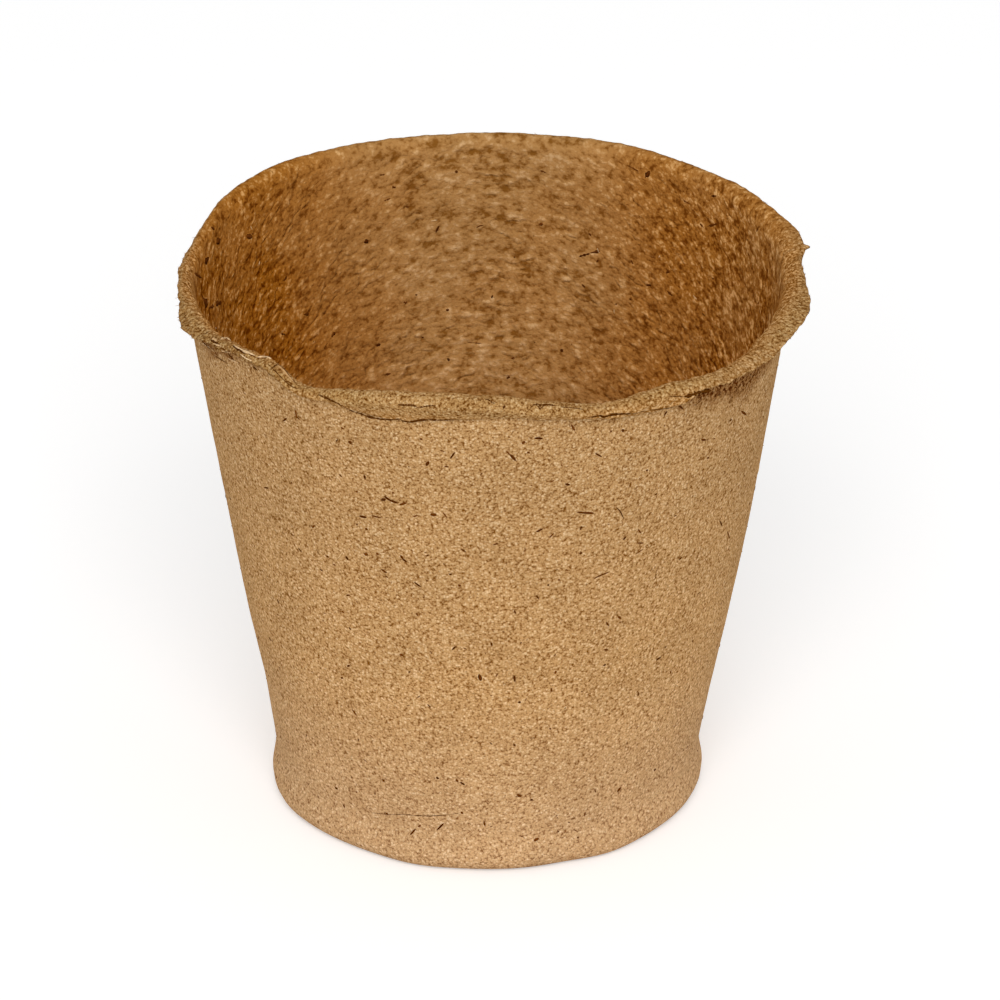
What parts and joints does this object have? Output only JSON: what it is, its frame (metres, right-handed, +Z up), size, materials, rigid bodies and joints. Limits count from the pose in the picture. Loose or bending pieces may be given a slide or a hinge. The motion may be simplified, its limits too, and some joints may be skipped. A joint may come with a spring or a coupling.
{
  "type": "peat pot",
  "caption": "Round tapered plant pot of pressed peat and wood fibre, open at the top, with an out-turned torn lip and a short upright foot band.",
  "frame": {"origin": "middle of the flat underside, on the ground", "axes": "+Z up along the pot's axis; -Y is the side shown in front; the notch in the lip is towards +X"},
  "size_m": [0.1115, 0.1118, 0.1021],
  "materials": {
    "peat_felt": "dry, rough and unglazed, light brown with dark fibres"
  },
  "bodies": {
    "root": {"pot": "peat_felt"}
  },
  "joints": []
}
